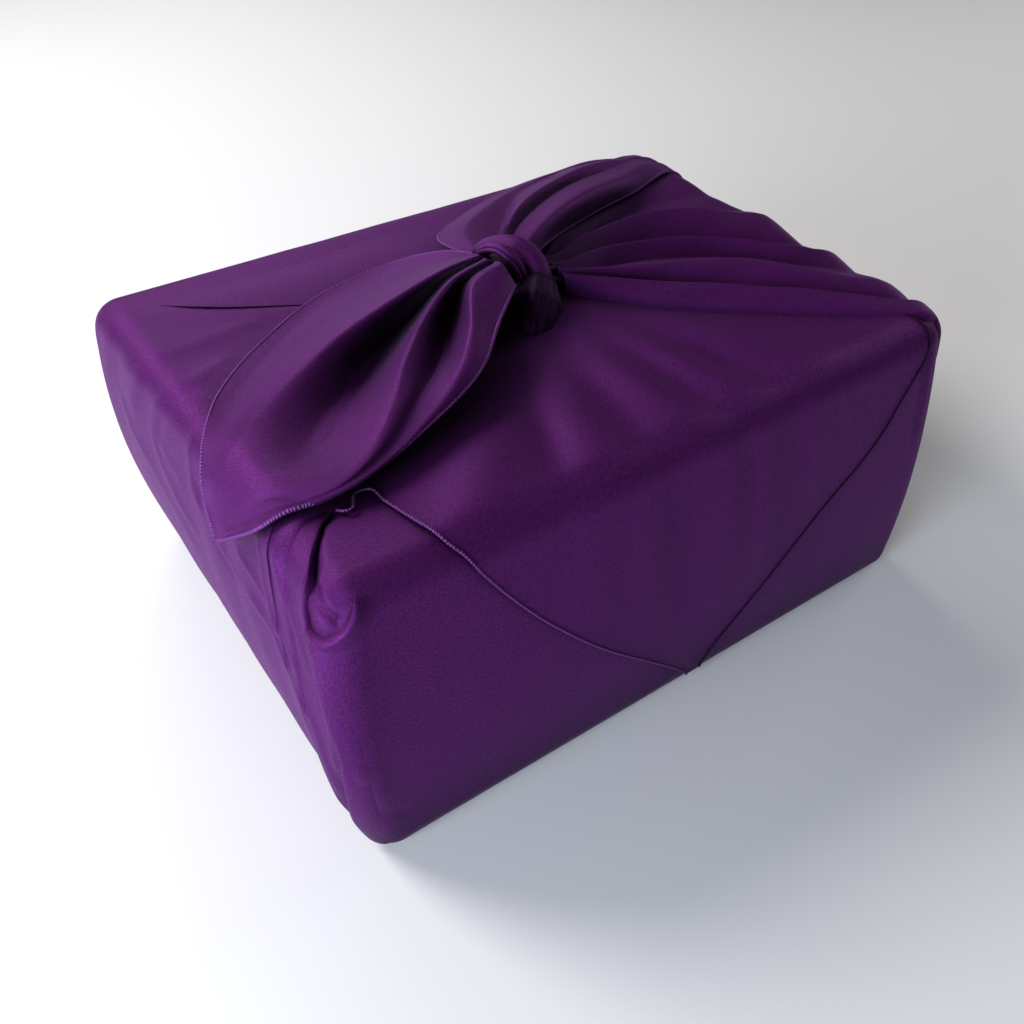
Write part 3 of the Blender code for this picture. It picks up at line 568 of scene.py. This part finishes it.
def cloth_uv(grid):
    """Flat-cloth coordinates of a grid in metres, turned so the weave runs at 45 degrees."""
    du = np.linalg.norm(np.diff(grid, axis=1), axis=-1).mean(0)
    dv = np.linalg.norm(np.diff(grid, axis=0), axis=-1).mean(1)
    u = np.concatenate([[0], np.cumsum(du)])
    v = np.concatenate([[0], np.cumsum(dv)])
    v, u = np.meshgrid(v, u, indexing="ij")
    return np.stack([u - v, u + v], -1).reshape(-1, 2) * DIAGONAL / MM


def sheet_mesh(name, grid):
    """A piece from a grid of points, one face thick."""
    faces = quads_of(*grid.shape[:2]).tolist()
    return new_mesh(name, grid.reshape(-1, 3), faces, cloth_uv(grid))


def thick_mesh(name, grid, thickness):
    """A closed thin sheet about a grid."""
    normals = grid_normals(grid)
    rows, columns = grid.shape[:2]
    count = rows * columns
    half = thickness / 2
    points = np.concatenate([(grid + normals * half).reshape(-1, 3),
                             (grid - normals * half).reshape(-1, 3)])
    faces = quads_of(rows, columns)
    rim = np.concatenate([np.arange(columns), np.arange(1, rows) * columns + columns - 1,
                          (rows - 1) * columns + np.arange(columns - 2, -1, -1),
                          np.arange(rows - 2, 0, -1) * columns])
    after = np.roll(rim, -1)
    sides = np.stack([rim, after, after + count, rim + count], -1)
    faces = np.concatenate([faces, faces[:, ::-1] + count, sides]).tolist()
    return new_mesh(name, points, faces, np.concatenate([cloth_uv(grid)] * 2))


def swept(name, route, radius_at, sides, rings, folds=0, depth=0.0, twist=0.0):
    """A closed roll along a route; folds are lengthwise pleats round it."""
    t = np.linspace(0, 1, rings)
    centres = through(route, t)
    way = unit(np.gradient(centres, axis=0))
    side = np.zeros_like(way)
    side[0] = unit(np.cross(way[0], (0.3, 0.2, 1.0)))      # any way that isn't along the route
    for i in range(1, rings):
        side[i] = unit(side[i - 1] - way[i] * np.dot(side[i - 1], way[i]))
    other = np.cross(way, side)
    turn = 2 * math.pi * np.arange(sides) / sides
    radius = radius_at(t)[:, None]
    pleats = 1 - np.abs(np.cos(folds * turn / 2 + twist * t[:, None]))
    reach = radius * (1 - 2 * depth * pleats)
    points = (centres[:, None] + side[:, None] * (reach * np.cos(turn))[..., None]
              + other[:, None] * (reach * np.sin(turn))[..., None])
    length = np.concatenate([[0], np.cumsum(np.linalg.norm(np.diff(centres, axis=0), axis=1))])
    around = turn * float(radius.mean())
    uv = np.stack(np.broadcast_arrays(length[:, None], around[None]), -1).reshape(-1, 2) / MM
    points = np.concatenate([points.reshape(-1, 3), centres[:1], centres[-1:]])
    uv = np.concatenate([uv, uv[:1], uv[-1:]])
    faces = quads_of(rings, sides, closed=True)[:, ::-1].tolist()
    first, last = rings * sides, rings * sides + 1
    for k in range(sides):
        n = (k + 1) % sides
        faces.append((n, k, first))
        faces.append(((rings - 1) * sides + k, (rings - 1) * sides + n, last))
    return new_mesh(name, points, faces, uv)


# ---- materials ---------------------------------------------------------------

def new_material(name):
    """A node material: itself, its nodes, its links and its shader."""
    mat = bpy.data.materials.new(name)
    mat.use_nodes = True
    nodes = mat.node_tree.nodes
    return mat, nodes, mat.node_tree.links, nodes["Principled BSDF"]


def set_inputs(node, values):
    for socket, value in values.items():
        node.inputs[socket].default_value = value


def satin(name, colour, dark, roughness, pitch, stitched=False):
    """Woven satin: its twill and threads vary colour, gloss and bump, and painted shade from
    ambient occlusion darkens the base colour in hollows and under other parts.
    """
    mat, nodes, links, shader = new_material(name)
    set_inputs(shader, {
        "Metallic": 0.45,
        "Specular IOR Level": 0.20,
        "Specular Tint": (0.75, 0.32, 0.95, 1),
        "Sheen Weight": 0.06,
        "Sheen Roughness": 0.3,
        "Sheen Tint": (0.75, 0.55, 0.95, 1),
    })
    coords = nodes.new("ShaderNodeUVMap")
    coords.uv_map = "cloth"
    twill = nodes.new("ShaderNodeTexWave")
    twill.wave_type = "BANDS"
    twill.bands_direction = "X" if stitched else "DIAGONAL"
    set_inputs(twill, {"Scale": pitch, "Distortion": 5, "Detail": 2})
    links.new(coords.outputs["UV"], twill.inputs["Vector"])
    threads = nodes.new("ShaderNodeMapping")
    set_inputs(threads, {"Scale": (600, 1700, 1)})
    links.new(coords.outputs["UV"], threads.inputs["Vector"])
    mottle = nodes.new("ShaderNodeTexNoise")
    set_inputs(mottle, {"Scale": 1, "Detail": 3, "Roughness": 0.6})
    links.new(threads.outputs["Vector"], mottle.inputs["Vector"])
    weave = nodes.new("ShaderNodeMix")
    weave.data_type = "FLOAT"
    set_inputs(weave, {"Factor": 0.2 if stitched else 0.72})
    links.new(twill.outputs["Fac"], weave.inputs["A"])
    links.new(mottle.outputs["Fac"], weave.inputs["B"])
    ramp = nodes.new("ShaderNodeValToRGB")
    ramp.color_ramp.elements[0].position = 0.36
    ramp.color_ramp.elements[0].color = dark
    ramp.color_ramp.elements[1].position = 0.64
    ramp.color_ramp.elements[1].color = colour
    links.new(weave.outputs["Result"], ramp.inputs["Fac"])
    gloss = nodes.new("ShaderNodeMapRange")
    set_inputs(gloss, {"From Min": 0.3, "From Max": 0.7,
                       "To Min": roughness + 0.06, "To Max": roughness - 0.06})
    links.new(weave.outputs["Result"], gloss.inputs["Value"])
    links.new(gloss.outputs["Result"], shader.inputs["Roughness"])
    # Painted shade: ambient occlusion darkens the base colour towards near black in creases,
    # hollows and under other parts
    hollow = nodes.new("ShaderNodeAmbientOcclusion")
    hollow.samples = 8
    set_inputs(hollow, {"Distance": 0.035})
    depth = nodes.new("ShaderNodeMapRange")
    set_inputs(depth, {"From Min": 0.33, "From Max": 0.97, "To Min": 0.12})
    links.new(hollow.outputs["AO"], depth.inputs["Value"])
    shaded = nodes.new("ShaderNodeMix")
    shaded.data_type = "RGBA"
    set_inputs(shaded, {"A": (0.003, 0.001, 0.004, 1)})
    links.new(depth.outputs["Result"], shaded.inputs["Factor"])
    links.new(ramp.outputs["Color"], shaded.inputs["B"])
    links.new(shaded.outputs["Result"], shader.inputs["Base Color"])
    bump = nodes.new("ShaderNodeBump")
    set_inputs(bump, {"Strength": 0.6, "Distance": 0.0003})
    links.new(weave.outputs["Result"], bump.inputs["Height"])
    links.new(bump.outputs["Normal"], shader.inputs["Normal"])
    return mat


def card():
    """Plain card for the box inside, which never shows."""
    mat, nodes, links, shader = new_material("plain card")
    place = nodes.new("ShaderNodeTexCoord")
    fibre = nodes.new("ShaderNodeTexNoise")
    set_inputs(fibre, {"Scale": 220, "Detail": 5})
    links.new(place.outputs["Object"], fibre.inputs["Vector"])
    shade = nodes.new("ShaderNodeValToRGB")
    shade.color_ramp.elements[0].color = (0.36, 0.24, 0.14, 1)
    shade.color_ramp.elements[1].color = (0.46, 0.33, 0.20, 1)
    links.new(fibre.outputs["Fac"], shade.inputs["Fac"])
    links.new(shade.outputs["Color"], shader.inputs["Base Color"])
    matt = nodes.new("ShaderNodeMapRange")
    set_inputs(matt, {"To Min": 0.72, "To Max": 0.88})
    links.new(fibre.outputs["Fac"], matt.inputs["Value"])
    links.new(matt.outputs["Result"], shader.inputs["Roughness"])
    grain = nodes.new("ShaderNodeBump")
    set_inputs(grain, {"Distance": 0.0002})
    links.new(fibre.outputs["Fac"], grain.inputs["Height"])
    links.new(grain.outputs["Normal"], shader.inputs["Normal"])
    return mat


SATIN = satin("purple satin", (0.108, 0.0155, 0.142, 1), (0.048, 0.0065, 0.062, 1),
              roughness=0.46, pitch=1150)
# The hem satin is lighter than the cloth: a painted highlight along the rolled edges, with bands
# along the stitches
HEM_WITH_HIGHLIGHT = satin("stitched hem with painted highlight", (0.21, 0.066, 0.28, 1), (0.070, 0.014, 0.096, 1),
            roughness=0.5, pitch=300, stitched=True)
# Satin with painted shade: a much darker copy of the satin, painted in for the shade on the knot's
# inner strands and along the flap's right hem
SHADE_SATIN = satin("satin with painted shade", (0.020, 0.004, 0.024, 1), (0.007, 0.002, 0.009, 1),
             roughness=0.5, pitch=1150)


def dress(obj, mat=SATIN):
    """Give a piece its material and tie it to the one body."""
    obj.data.materials.append(mat)
    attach(obj, "root")
    return obj


# ---- the wrapped body --------------------------------------------------------

def spaced(low, high, near):
    """Places from low to high, close together over the first part."""
    fine = np.linspace(low, low + near, int(near / FINE) + 1)
    rest = np.linspace(low + near, high, int((high - low - near) / COARSE) + 1)
    return np.concatenate([fine, rest[1:]])


def body_mesh():
    """The outside of the bundle under the flap, ears and knot."""
    along_x, along_y, up_z = FINE_SPAN
    xs, ys = spaced(-HX, HX, along_x), spaced(-HY, HY, along_y)
    zs = HEIGHT - spaced(0, HEIGHT, up_z)[::-1]
    points, uvs, faces, start = [], [], [], 0
    for axis, level, first, second, flip in (
            (2, HEIGHT, xs, ys, False), (2, 0.0, xs, ys, True),
            (0, -HX, ys, zs, True), (0, HX, ys, zs, False),
            (1, -HY, xs, zs, False), (1, HY, xs, zs, True)):
        a, b = np.meshgrid(first, second, indexing="ij")
        planes = [a, b]
        planes.insert(axis, np.full(a.shape, level))
        p = np.stack(planes, -1)
        points.append(skin(p, body_relief(p, axis, level)).reshape(-1, 3))
        uvs.append(np.stack([a - b, a + b], -1).reshape(-1, 2) * DIAGONAL / MM)
        quads = quads_of(len(first), len(second), start)
        faces += (quads[:, ::-1] if flip else quads).tolist()
        start += a.size
    obj = new_mesh("wrap_body", np.concatenate(points), faces, np.concatenate(uvs))
    weld = obj.modifiers.new("weld", "WELD")
    weld.merge_threshold = WELD / MM
    solid = obj.modifiers.new("cloth", "SOLIDIFY")
    solid.thickness = BODY_CLOTH / MM
    solid.offset = -1
    return obj


def body_relief(p, axis, level):
    """Slow waves of the front and back faces; they die out at the edges and at the foot."""
    if axis != 1:
        return np.zeros(p.shape[:-1])
    x, z = p[..., 0], p[..., 2]
    calm = smooth(0, 14, z) * smooth(0, 30, HX - np.abs(x)) * smooth(HEIGHT, HEIGHT - 12, z)
    total = np.zeros(x.shape)
    for height, squeeze, seed, scale in FRONT_WAVES if level < 0 else BACK_WAVES:
        total += height * ripples(x, z * squeeze, seed, scale)
    return total * calm


# ---- flap, ears and free ends ------------------------------------------------

def flap_grid():
    """The V flap: a grid from its back edge, sunk into the body, over the top to its tip."""
    table = np.array(FLAP_EDGES, float)
    s = np.linspace(table[0, 0], table[-1, 0], FLAP_ROWS)
    left, right = (evened(np.interp(s, table[:, 0], table[:, k])) for k in (1, 2))
    t = np.linspace(0, 1, FLAP_COLUMNS)
    x = left[:, None] + (right - left)[:, None] * t
    s = s[:, None] + 0 * t
    risen = smooth(*FLAP_RISE, s)
    lift = FLAP_LIFT * risen - FLAP_SUNK * (1 - risen)
    lift *= 1 - 0.5 * smooth(*FLAP_TIP, s)
    over_edge = 1 - 0.6 * np.exp(-((s - HY) / 7) ** 2)
    lift += ridge_field(x, s, FLAP_SWELLS) * over_edge
    lift += FLAP_CLIMB * np.exp(-np.hypot(x, s - 6) / FLAP_REACH)
    lift += FLAP_RIPPLE * ripples(x, s * 0.6, seed=11, scale=9)
    return skin(along_front(x, s), lift)


def ear_grid(folds, side, rows, columns):
    """An ear: a grid that fans out from the knot over the top and down an end."""
    folds = np.array(folds, float)
    s = np.linspace(EAR_STATIONS[0], EAR_STATIONS[-1], rows)
    t = np.interp(s, EAR_STATIONS, np.linspace(0, 1, len(EAR_STATIONS)))
    lines = np.stack([through(row[:-2], t) for row in folds])           # fold, s
    heights, sharp = folds[:, -2, None] * EAR_SHARE[side], folds[:, -1]
    over_edge, down_end = EAR_FADES[side]
    fade = 1 - over_edge * smooth(84, 124, s)
    fade *= 1 - down_end * smooth(124, EAR_STATIONS[-1], s)
    fade *= 1 - 0.15 * (1 - smooth(12, 30, s))
    heights = np.where(heights < 0, heights, heights * fade)           # fold, s
    t = np.linspace(0, 1, columns)
    y, height = across(np.stack([lines, heights], -1), sharp, t).transpose(2, 1, 0)
    rim = smooth(0.0, 0.10, np.minimum(t, 1 - t))
    s = s[:, None]
    climb = EAR_CLIMB * np.exp(-(s - EAR_STATIONS[0]) / EAR_REACH) * (0.35 + 0.65 * rim)
    fine = EAR_RIPPLE * ripples(s * 0.25, y * (1 + 60 / s), seed=21 + side, scale=4) * rim
    return skin(along_end(side, s, y), height + climb + fine)


def rolled_edge(name, route, section, steps):
    """A strip rolled up along a line on the bundle, its other edge sunk into the cloth."""
    t = np.linspace(0, 1, steps)
    route = through(route, t)
    base, out = rounded(route[:, :3])
    way = unit(np.gradient(base, axis=0))
    side = unit(np.cross(out, way))
    section = np.array(section, float)
    fine = through(section, np.linspace(0, 1, 4 * len(section)))
    place, out = rounded(base[:, None] + side[:, None] * fine[None, :, :1])
    lift = route[:, 3:] * fine[None, :, 1] + fine[None, :, 2]
    return dress(sheet_mesh(name, warp(place + out * lift[..., None])))


def over_the_top(p, clear):
    """Keep a free end's middle surface clear of the bundle's rounded form."""
    low = np.array([-HX + EDGE_RADIUS, -HY + EDGE_RADIUS, 0])
    high = np.array([HX - EDGE_RADIUS, HY - EDGE_RADIUS, HEIGHT - TOP_RADIUS])
    core = np.clip(p, low, high)
    out = p - core
    distance = np.linalg.norm(out, axis=-1, keepdims=True)
    need = TOP_RADIUS + clear
    short = (distance < need) & (distance > 1e-6)
    return np.where(short, core + out / np.maximum(distance, 1e-6) * need, p)


def tail_grid(folds, drop, clear, rows, between, seed):
    """A free end: a grid along its folds, kept clear of the bundle."""
    sharp = np.array([row[0] for row in folds.values()])
    lines = [list(row[1]) for row in folds.values()]
    outside = HX + clear
    for height, y_first, y_last in drop:
        for j, line in enumerate(lines):
            line.append((outside, y_first + (y_last - y_first) * j / (len(lines) - 1), height))
    t = np.linspace(0, 1, rows)
    lines = np.stack([through(line, t) for line in lines])             # fold, row, 3
    columns = (len(lines) - 1) * between + 1
    sharp = sharp[:, None] * smooth(0.75, 0.5, t)
    grid = across(lines, sharp, np.linspace(0, 1, columns)).transpose(1, 0, 2)
    grid = over_the_top(grid, clear)
    u, v = t[:, None] * TAIL_LENGTH, np.linspace(0, 1, columns) * TAIL_WIDTH
    calm = smooth(0, 0.12, t) * (1 - smooth(0.85, 1, t))
    fine = TAIL_RIPPLE * ripples(u * 0.35, v, seed, scale=7) * calm[:, None]
    return warp(over_the_top(grid + grid_normals(grid) * fine[..., None], clear))


def hem_along(name, line, radius=HEM_RADIUS, mat=HEM_WITH_HIGHLIGHT):
    """A thin stitched roll along an edge, by default in the hem satin with painted highlight."""
    rings = min(len(line) * 2, 260)
    return dress(swept(name, line, lambda t: np.full(t.shape, radius), HEM_SIDES, rings), mat)


def strand_radius(radii):
    """Radius along a strand, from its start, middle and end, drawn in at both ends."""
    return lambda t: np.interp(t, (0, 0.5, 1), radii) * np.sqrt(
        np.clip(1 - (2 * t - 1) ** 8, 0.02, 1))


# ---- the pieces --------------------------------------------------------------

body = dress(body_mesh())
flap_points = flap_grid()
flap = dress(sheet_mesh("v_flap", flap_points))
flap_left, flap_right = flap_points[HEM_ROWS[0]::2, 0], flap_points[HEM_ROWS[1]::2, -1]
hem_left = hem_along("flap_hem_left", flap_left, FLAP_HEM_RADII[0])
# The right hem takes the satin with painted shade: a painted shadow line along the flap's edge
hem_right = hem_along("flap_hem_right", flap_right, FLAP_HEM_RADII[1], SHADE_SATIN)

right_ear = dress(sheet_mesh("right_ear", ear_grid(RIGHT_EAR, 1, rows=150, columns=241)))
left_ear_points = ear_grid(LEFT_EAR, -1, rows=150, columns=225)[:, ::-1]
left_ear = dress(sheet_mesh("left_ear", left_ear_points))

left_folds = {name: (sharp, [seen(*point) for point in points])
              for name, (sharp, points) in LEFT_TAIL.items()}
tail_left_grid = tail_grid(left_folds, (), LEFT_CLEAR, rows=170, between=16, seed=31)
left_tail = dress(thick_mesh("left_tail", tail_left_grid, CLOTH))
right_folds = {name: (sharp, [point if len(point) == 3 else sighted(*point) for point in points])
               for name, (sharp, points) in RIGHT_TAIL.items()}
tail_right_grid = tail_grid(right_folds, RIGHT_TAIL_DROP, RIGHT_CLEAR,
                            rows=130, between=14, seed=37)
right_tail = dress(thick_mesh("right_tail", tail_right_grid, CLOTH))
hem_lb = hem_along("tail_hem_back", tail_left_grid[::3, 0])
hem_lf = hem_along("tail_hem_front", tail_left_grid[::3, -1])
hem_rb = hem_along("end_hem_back", tail_right_grid[::3, 0])
hem_rf = hem_along("end_hem_front", tail_right_grid[::3, -1])

for name, (route, radii, folds, depth) in KNOT_STRANDS.items():
    strand = swept(name, route, strand_radius(radii), sides=72, rings=90,
                   folds=folds, depth=depth, twist=1.2)
    # The collar and wrap take the plain satin; the bulb, core and gather take the satin with
    # painted shade
    outer = name.startswith(("knot_collar", "knot_wrap"))
    dress(strand, SATIN if outer else SHADE_SATIN)
pouch_lip = rolled_edge("pouch_lip", POUCH_LIP, LIP_SECTION, steps=150)
corner_lap = rolled_edge("corner_lap", CORNER_LAP, LAP_SECTION, steps=150)
curl_x, curl_s = np.array(HEM_CURL, float).T
curl_line = np.concatenate([skin(along_front(curl_x, curl_s), CURL_LIFT), flap_left[0:1]])
curl = hem_along("flap_hem_curl", through(curl_line, np.linspace(0, 1, 60)), CURL_RADIUS)

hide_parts("furoshiki_cloth")

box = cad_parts["wrapped_box"]
box.data.materials.clear()
box.data.materials.append(card())

# ---- floor, light and camera -------------------------------------------------

LAMP_AIM = (0, 0, 0.07)  # metres, as are the lamps' places

bpy.ops.mesh.primitive_plane_add(size=6)
floor = bpy.context.object
floor.name = "floor"
paper, _, _, paper_shader = new_material("pale floor")
set_inputs(paper_shader, {"Base Color": (0.86, 0.86, 0.87, 1), "Roughness": 0.75})
floor.data.materials.append(paper)


def area_light(name, place, size, energy, colour=(1, 1, 1)):
    """A round lamp that looks at the middle of the bundle."""
    lamp = bpy.data.lights.new(name, "AREA")
    lamp.shape = "DISK"
    lamp.size = size
    lamp.energy = energy
    lamp.color = colour
    obj = bpy.data.objects.new(name, lamp)
    bpy.context.scene.collection.objects.link(obj)
    obj.location = place
    aim = Vector(LAMP_AIM) - Vector(place)
    obj.rotation_euler = aim.to_track_quat("-Z", "Y").to_euler()


area_light("window", (-0.86, -0.34, 0.31), size=0.6, energy=11.5, colour=(0.80, 0.88, 1.0))
area_light("sky", (-0.6, 0.6, 0.8), size=0.45, energy=9.5, colour=(1.0, 0.95, 0.93))
area_light("front", (0.05, -1.2, 0.6), size=0.7, energy=0.7)
area_light("back", (0.15, 1.05, 0.75), size=0.7, energy=4.5)
area_light("right", (1.2, 0.05, 0.5), size=0.7, energy=2.5)

bpy.context.scene.view_settings.view_transform = "Standard"
world = bpy.data.worlds.new("studio")
bpy.context.scene.world = world
world.use_nodes = True
set_inputs(world.node_tree.nodes["Background"], {"Color": (1, 1, 1, 1), "Strength": 0.04})

camera = bpy.data.cameras.new("camera")
camera.sensor_width = SENSOR
camera.lens = LENS
view = bpy.data.objects.new("camera", camera)
bpy.context.scene.collection.objects.link(view)
view.location = CAMERA_PLACE
ahead = Vector(CAMERA_AIM) - Vector(CAMERA_PLACE)
view.rotation_euler = ahead.to_track_quat("-Z", "Y").to_euler()
bpy.context.scene.camera = view

bpy.context.view_layer.update()
